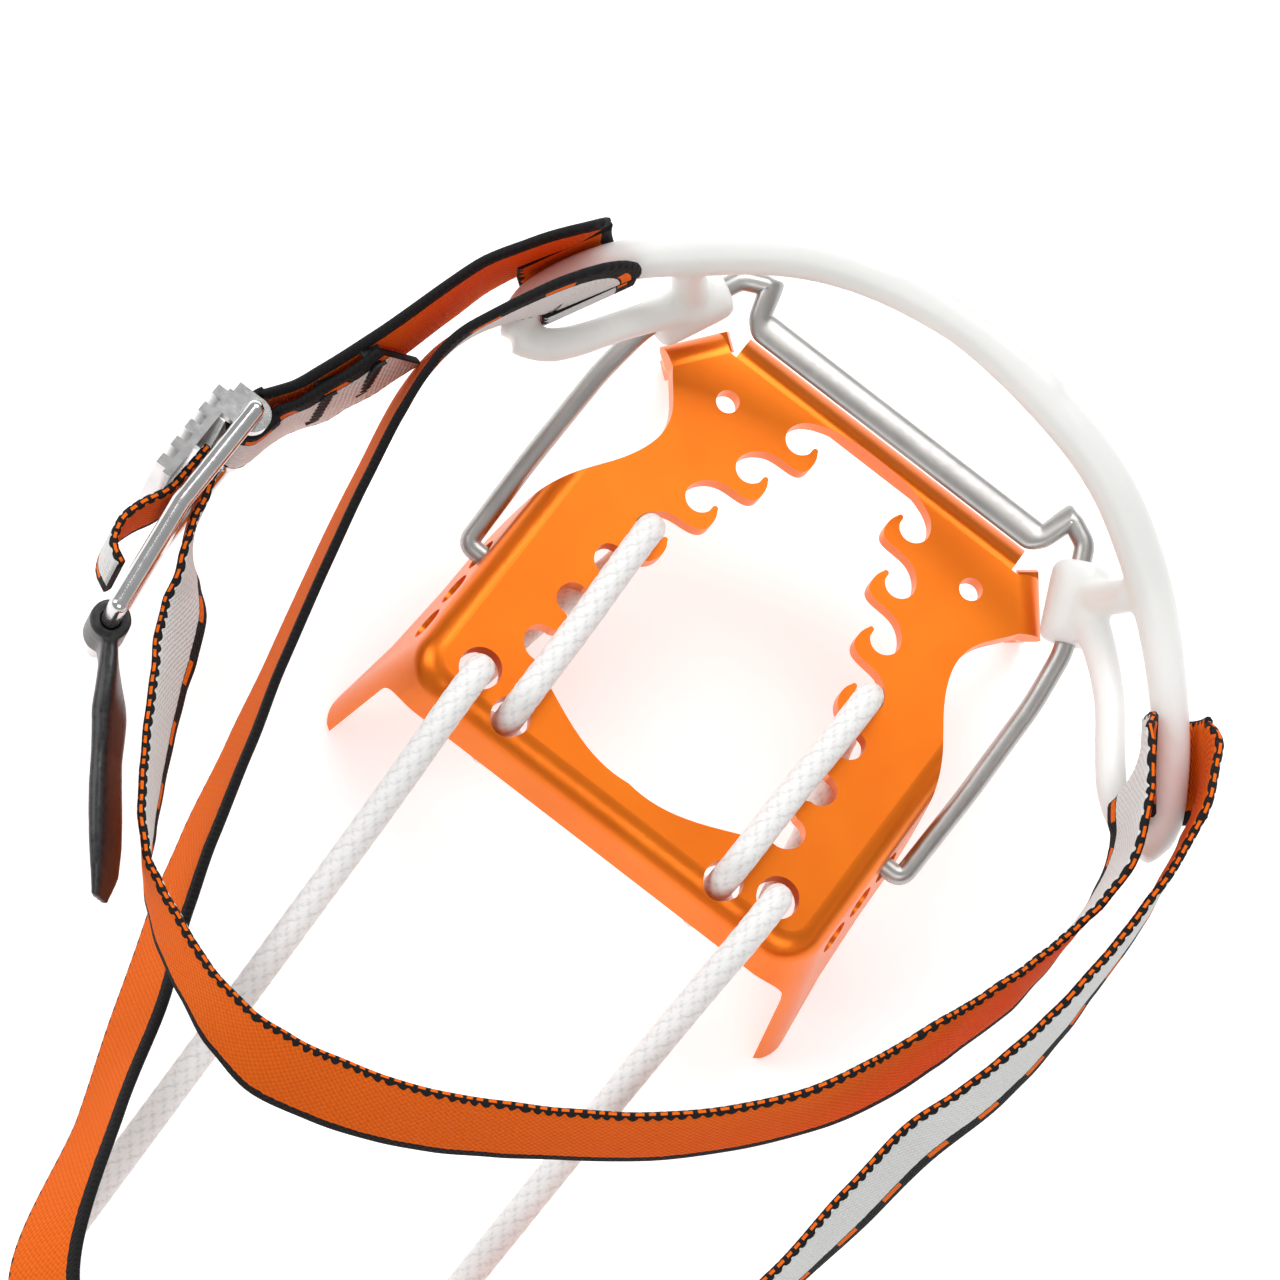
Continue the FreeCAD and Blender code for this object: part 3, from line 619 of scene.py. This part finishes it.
# Flat webbing. With flip the pale face is on the side where the orange one would be
def buildStrap(name, rows, flip=False):
    line = eased(rows, strap["step"])
    half = strap["width"] / 2
    thick = strap["thickness"] / 2
    offsets = [-1.0, -0.93, -0.75, -0.5, -0.25, 0.0, 0.25, 0.5, 0.75, 0.93, 1.0]
    verts, uvs = [], []
    travelled = 0.0
    ring = len(offsets) * 2
    for index, (spot, side) in enumerate(line):
        ahead = (line[min(index + 1, len(line) - 1)][0] - line[max(index - 1, 0)][0]).normalized()
        side = (side - ahead * side.dot(ahead)).normalized()
        face = ahead.cross(side).normalized()
        if index:
            travelled += (spot - line[index - 1][0]).length
        for sign in (1, -1):
            row = offsets if sign > 0 else offsets[::-1]
            for w in row:
                edge = math.sqrt(max(0.0, 1 - max(0.0, (abs(w) - 0.9) / 0.1) ** 2))
                rise = thick * (0.35 + 0.65 * edge) * sign
                verts.append((spot + side * (w * half) + face * rise) * mm)
                across = (w + 1) / 2
                front = (sign > 0) != flip
                uvs.append((across * 0.4 if front else 0.6 + across * 0.4, travelled * mm))
    faces, loops = [], []
    for index in range(len(line) - 1):
        a, b = index * ring, (index + 1) * ring
        for k in range(ring):
            n = (k + 1) % ring
            faces.append((a + k, b + k, b + n, a + n))
            if k == len(offsets) - 1:          # thin side beside the dotted selvedge
                low, high = (0.45, uvs[a + k][1]), (0.45, uvs[b + k][1])
                loops.append([low, high, high, low])
            elif k == ring - 1:                # thin side beside the broad black stripe
                loops.append([uvs[a + k], uvs[b + k], uvs[b + k], uvs[a + k]])
            else:
                loops.append([uvs[a + k], uvs[b + k], uvs[b + n], uvs[a + n]])
    last = (len(line) - 1) * ring
    faces.append(tuple(range(ring)))
    loops.append([(0.0, 0.0)] * ring)
    faces.append(tuple(last + k for k in range(ring))[::-1])
    loops.append([(0.0, 0.0)] * ring)
    mesh = bpy.data.meshes.new(name)
    mesh.from_pydata(verts, [], faces)
    layer = mesh.uv_layers.new(name="strapMap")
    flat = [value for face in loops for uv in face for value in uv]
    layer.data.foreach_set("uv", flat)
    obj = bpy.data.objects.new(name, mesh)
    bpy.context.scene.collection.objects.link(obj)
    obj.data.shade_smooth()
    dress(obj, strapLook)
    return obj


# stations where webbing rising from a slot turns forward on its edge, its width pointing down at the end
def edgeBend(foot, forward, radius):
    f = Vector(forward).normalized()
    z = Vector((0, 0, 1))
    rows = []
    for degrees in (0, 30, 60, 90):
        a = math.radians(degrees)
        place = Vector(foot) + f * (radius * (1 - math.cos(a))) + z * (radius * math.sin(a))
        rows.append((tuple(place), tuple(f * math.cos(a) - z * math.sin(a))))
    return rows


alongRightBar = (0.55, -0.82, -0.13)
alongLeftBar = (-0.46, -0.87, -0.18)
down = (0, 0, -1)
straps = {
    "instep": edgeBend((-46.7, -7.2, 19.4), (-0.5, -0.87, 0), 6.5)
    + [((-54.6, -20.4, 23.5), (-0.05, 0.1, -1)), ((-58.0, -26.6, 16), (-0.1, 0.25, -0.95)),
       ((-58.6, -33.6, 8), (-0.14, 0.34, -0.93)), ((-56.8, -43.2, 1), (-0.14, 0.34, -0.93)),
       ((-54.3, -54.1, -5.5), (-0.16, 0.32, -0.94)), ((-50.5, -68.9, -12), (-0.17, 0.29, -0.94)),
       ((-47.2, -81.3, -16), (-0.24, 0.26, -0.93)), ((-43.8, -94.8, -19), (-0.31, 0.23, -0.92)),
       ((-40.4, -106.2, -20), (-0.36, 0.18, -0.92)), ((-35.6, -119.5, -19.5), (-0.4, 0.1, -0.9)),
       ((-30.5, -136.2, -17.5), (-0.3, 0, -0.95)), ((-22.6, -160.8, -15), (-0.45, -0.3, -0.85)),
       ((-6.6, -171.0, -14.5), (0, -0.87, -0.5)), ((12.6, -167.5, -14.5), (0.3, -0.9, 0.35)),
       ((32.4, -151.6, -14.5), (0.35, -0.3, 0.88)), ((47.9, -133.5, -14), (0, 0, 1)),
       ((56.0, -115.7, -10), (-0.1, 0, 1)),
       ((59.6, -99.2, -4.5), (-0.25, -0.05, 0.95)), ((61.6, -84.5, 1), (-0.38, -0.12, 0.9)),
       ((63.0, -73.4, 5), (-0.42, -0.17, 0.89)), ((65.6, -65.1, 9), (-0.39, -0.23, 0.89)),
       ((67.1, -58.3, 12), (-0.35, -0.28, 0.9)), ((68.0, -51.2, 15), (-0.27, -0.28, 0.92)),
       ((68.3, -44.8, 18), (-0.2, -0.29, 0.94)), ((68.5, -38.1, 20), (-0.16, -0.29, 0.94)),
       ((68.3, -31.8, 22), (-0.13, -0.29, 0.95)), ((67.7, -25.2, 23.5), (-0.07, -0.1, 0.98)),
       ((66.6, -17.6, 24.5), (-0.12, 0.25, 0.95)), ((64.8, -11.2, 23), (-0.35, 0.75, 0.5)),
       ((63.4, -7.6, 19.0), (-0.55, 0.82, 0.13))],
    "adjuster": [((57.0, -11.8, 18.8), (-0.55, 0.82, 0.13)), ((56.0, -14.2, 22.0), (-0.4, 0.8, 0.45)),
                 ((56.0, -17.6, 24.0), (-0.1, 0.45, 0.88)), ((57.6, -20.6, 24.3), (0, 0.26, 0.96)),
                 ((59.6, -23.9, 24.3), (0.04, 0.04, 1)), ((61.2, -27.6, 23.3), (0.1, -0.11, 0.99)),
                 ((62.0, -32.6, 21), (0.04, -0.25, 0.96)), ((62.1, -36.6, 19), (-0.04, -0.3, 0.95)),
                 ((61.8, -40.7, 17), (-0.1, -0.3, 0.95)), ((61.1, -46.0, 15), (-0.19, -0.29, 0.94)),
                 ((59.8, -52.0, 13), (-0.3, -0.28, 0.91)), ((57.9, -57.6, 11), (-0.34, -0.28, 0.9)),
                 ((56.0, -63.0, 10), (-0.38, -0.25, 0.89)), ((53.1, -70.3, 8), (-0.39, -0.18, 0.9)),
                 ((48.3, -79.2, 7), (-0.37, -0.14, 0.92)), ((40.9, -88.2, 5), (-0.33, -0.05, 0.94)),
                 ((32.1, -96.3, 3), (-0.28, 0.05, 0.96)), ((22.4, -103.0, 1), (-0.21, 0.14, 0.97)),
                 ((14.9, -107.8, 0), (-0.14, 0.25, 0.96)), ((7.5, -112.1, -1), (-0.09, 0.32, 0.94)),
                 ((0, -115.4, -2), (-0.02, 0.38, 0.93)), ((-7.9, -117.8, -3), (0, 0.42, 0.91)),
                 ((-15.7, -119.6, -3), (0, 0.42, 0.91)), ((-23.6, -119.1, -3), (0.02, 0.27, 0.96)),
                 ((-31.4, -116.7, -3), (0.02, 0.12, 0.99)), ((-37.7, -113.8, -3), (0.07, 0.03, 1)),
                 ((-43.0, -110.6, -3), (0.05, -0.1, 0.98)), ((-47.0, -107.4, -3), (0, -0.22, 0.97)),
                 ((-50.6, -102.5, -3), (-0.1, -0.3, 0.93)), ((-53.8, -97.0, -3), (-0.15, -0.34, 0.92)),
                 ((-57.1, -91.0, -2.5), (-0.21, -0.36, 0.91)), ((-60.0, -85.3, -2), (-0.28, -0.34, 0.9)),
                 ((-62.4, -80.4, -1.5), (-0.38, -0.34, 0.86)), ((-64.6, -75.6, -0.8), (-0.4, -0.3, 0.87)),
                 ((-67.4, -71.0, 0), (-0.26, -0.15, 0.95)), ((-70.6, -66.8, 0), (-0.08, 0, 1)),
                 ((-72.0, -62.6, 0), up),
                 ((-73.6, -58.2, 0), up), ((-74.4, -54.4, 0), up)],
    "tail": [((-76.2, -56.5, 0), up), ((-76.4, -61.5, 0), up), ((-76.7, -65.2, 0), up), ((-78.4, -69.0, 0), up),
             ((-79.2, -72.8, 0), up), ((-78.0, -76.4, 0), up), ((-75.4, -78.0, 0), up)],
}


def wrapUnder(centre, bar, outward, way):
    b = Vector(bar).normalized()
    h = Vector(outward)
    h = (h - b * h.dot(b)).normalized()
    k = b.cross(h)
    if k.z < 0:
        k = -k
    r = strap["slotBar"] + strap["thickness"] / 2 + strap["slotGap"]
    rise = strap["legRise"]
    middle = Vector(centre)
    places = [middle + h * r + k * rise]
    for step in range(7):
        angle = math.pi * step / 6
        places.append(middle + h * (r * math.cos(angle)) - k * (r * math.sin(angle)))
    places.append(middle - h * r + k * rise)
    return [(tuple(p), tuple(b * way)) for p in places]


def buckleSide():
    x, y = strap["buckleBar"]
    r = strap["buckleBarRadius"] + strap["thickness"] / 2 + strap["buckleGap"]
    rows = [((-53.6, -3.7, 19.2), (-0.46, -0.87, -0.18)), ((-54.6, -5.3, 21.0), (-0.4, -0.6, -0.6)),
            ((-57.0, -9.2, 21.0), (0, 0, -1)), ((-60.2, -14.9, 19.2), (0.17, 0.2, -0.96)),
            ((-62.5, -21.8, 16.6), (0.21, 0.24, -0.95)), ((-65.0, -29.6, 13.2), (0.22, 0.22, -0.95)),
            ((-67.6, -35.4, 9), (0.15, 0.15, -0.97)),
             ((-69.8, -39.2, 5), down), ((-72.6, -42.6, 1), down), ((-75.3, -45.3, 0), down)]
    for degrees in (180, 225, 270, 315, 360):
        a = math.radians(degrees)
        rows.append(((x + r * math.cos(a), y + r * math.sin(a), 0), down))
    rows += [((-70.6, -44.6, 0), down), ((-67.9, -40.4, 3.6), down), ((-65.2, -35.6, 8.4), (0.15, 0.15, -0.97)),
             ((-62.9, -30.2, 12.6), (0.22, 0.22, -0.95))]
    return rows


strapLook = webbing()
rightWrap = wrapUnder((60.0, -9.2, 15.5), alongRightBar, (0.82, 0.55, 0), -1)
leftWrap = wrapUnder((-50.1, -5.6, 16.5), alongLeftBar, (-0.87, 0.46, 0), 1)
softPieces = [
    (buildStrap("strap_instep_webbing", straps["instep"], True), "strap_instep"),
    (buildStrap("strap_adjuster_webbing", straps["adjuster"], True), "strap_adjuster"),
    (buildStrap("strap_buckle_side_webbing", buckleSide()), "strap_buckle_side"),
    (buildStrap("strap_tail_webbing", straps["tail"], True), "strap_tail"),
    (buildStrap("strap_wrap_right_webbing", rightWrap, True), "strap_wrap_right"),
    (buildStrap("strap_wrap_left_webbing", leftWrap, True), "strap_wrap_left"),
]
for piece, cadNode in softPieces:
    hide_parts(cadNode)
    if cadNode == "strap_tail":
        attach(piece, "root")
    elif cadNode.startswith("strap_wrap"):
        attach(piece, "bail")
    elif cadNode == "strap_buckle_side":
        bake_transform(piece)
    else:
        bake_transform(piece)
print("webbing")


steel = satinSteel("polishedSteel", (0.74, 0.74, 0.74), 0.08, 0.16)
for name in ("buckle_frame", "grip_plate"):
    dress(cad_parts[name], steel)
    smoothByAngle(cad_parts[name], 35)
print("buckle")


tacks = {"places": [(-65.9, -34.0, 10.6, -24), (-69.0, -39.6, 4.6, -32)],
         "height": 12.6, "width": 2.6, "rows": 17, "halfStack": 2.0, "thread": 0.34}


# each tack is a zigzag of thread on both faces of the sewn fold, joined over the top by a whipped edge
def buildTacks():
    made = []
    for number, (x, y, z, turn) in enumerate(tacks["places"]):
        spin = Matrix.Rotation(math.radians(turn), 3, "Z")
        for face in (-1, 1):
            rows = []
            for step in range(tacks["rows"] + 1):
                across = tacks["width"] / 2 * (1 if step % 2 else -1)
                rise = tacks["height"] * (step / tacks["rows"] - 0.5)
                spot = spin @ Vector((face * tacks["halfStack"], across, 0)) + Vector((x, y, z + rise))
                rows.append(tuple(spot))
            made.append(toMesh(nurbsThrough("tack%d%d" % (number, face + 1), rows, tacks["thread"], 3, 3)))
        for lift in (-1, 1):
            rows = []
            for step in range(9):
                side = tacks["halfStack"] * (1 if step % 2 else -1)
                across = tacks["width"] * (step / 8 - 0.5)
                spot = spin @ Vector((side, across, 0)) + Vector((x, y, z + lift * tacks["height"] / 2))
                rows.append(tuple(spot))
            made.append(toMesh(nurbsThrough("whip%d%d" % (number, lift + 1), rows, tacks["thread"], 3, 3)))
    bpy.ops.object.select_all(action="DESELECT")
    for part in made:
        part.select_set(True)
    bpy.context.view_layer.objects.active = made[0]
    bpy.ops.object.join()
    threads = made[0]
    threads.name = "tack_threads"
    threads.data.shade_smooth()
    dress(threads, darkThread())
    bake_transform(threads)
    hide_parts("bar_tacks")


buildTacks()
print("stitching")


pullTab = {
    "ring": (-71.8, -84.5), "ringRadius": 3.0, "bore": 1.5, "width": 9.0,
    "line": [(-70.2, -86.6), (-67.6, -89.6), (-64.9, -93.0), (-62.4, -96.6), (-60.2, -100.0), (-57.8, -103.4),
             (-55.4, -106.6), (-53.0, -109.8), (-50.6, -113.2), (-48.8, -116.8)],
    "half": [1.3, 1.5, 1.55, 1.4, 1.25, 1.3, 1.3, 1.2, 1.0, 0.6],
    "tall": [3.6, 4.2, 4.5, 4.3, 4.0, 4.3, 4.5, 4.5, 4.0, 2.2],
    "lean": 30,
}


def buildTab():
    rows = [Vector((x, y, 0)) for x, y in pullTab["line"]]
    fine, _ = evenPoints(rows, 46)
    verts, faces = [], []
    count = 28
    for index, (spot, ahead, side, other) in enumerate(sweepFrames(fine)):
        place = index / (len(fine) - 1) * (len(rows) - 1)
        low = min(len(rows) - 2, int(place))
        part = place - low
        half = pullTab["half"][low] * (1 - part) + pullTab["half"][low + 1] * part
        tall = pullTab["tall"][low] * (1 - part) + pullTab["tall"][low + 1] * part
        lean = math.radians(pullTab["lean"]) * min(1.0, place / 2.5)
        sideways = Vector((ahead.y, -ahead.x, 0))
        flatWay = sideways * math.cos(lean) - Vector((0, 0, math.sin(lean)))
        tallWay = sideways * math.sin(lean) + Vector((0, 0, math.cos(lean)))
        for k in range(count):
            a = 2 * math.pi * k / count
            c, d = math.cos(a), math.sin(a)
            px = math.copysign(abs(c) ** 0.6, c) * half
            pz = math.copysign(abs(d) ** 0.45, d) * tall
            verts.append((spot + flatWay * px + tallWay * pz) * mm)
    for index in range(len(fine) - 1):
        a, b = index * count, (index + 1) * count
        for k in range(count):
            n = (k + 1) % count
            faces.append((a + k, a + n, b + n, b + k))
    faces.append(tuple(range(count))[::-1])
    last = (len(fine) - 1) * count
    faces.append(tuple(last + k for k in range(count)))
    mesh = bpy.data.meshes.new("pull_tab_moulding")
    mesh.from_pydata(verts, [], faces)
    blade = bpy.data.objects.new("pull_tab_moulding", mesh)
    bpy.context.scene.collection.objects.link(blade)
    x, y = pullTab["ring"]
    bpy.ops.object.select_all(action="DESELECT")
    tall = pullTab["width"] * 0.86 * mm
    bpy.ops.mesh.primitive_cylinder_add(vertices=40, radius=pullTab["ringRadius"] * mm, depth=tall,
                                        end_fill_type="NOTHING", location=(x * mm, y * mm, 0))
    loop = bpy.context.object
    wall = loop.modifiers.new("wall", "SOLIDIFY")
    wall.thickness = (pullTab["ringRadius"] - pullTab["bore"]) * mm
    wall.offset = -1
    bpy.ops.object.modifier_apply(modifier="wall")
    bpy.ops.object.select_all(action="DESELECT")
    blade.select_set(True)
    loop.select_set(True)
    bpy.context.view_layer.objects.active = blade
    bpy.ops.object.join()
    remesh = blade.modifiers.new("blend", "REMESH")
    remesh.mode = "VOXEL"
    remesh.voxel_size = 0.32 * mm
    bpy.ops.object.modifier_apply(modifier="blend")
    soften = blade.modifiers.new("soften", "SMOOTH")
    soften.factor = 0.5
    soften.iterations = 6
    bpy.ops.object.modifier_apply(modifier="soften")
    blade.data.shade_smooth()
    dress(blade, tabRubber())
    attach(blade, "tab")
    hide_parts("pull_tab")


buildTab()
print("tab")

bpy.context.scene.view_settings.view_transform = "Standard"
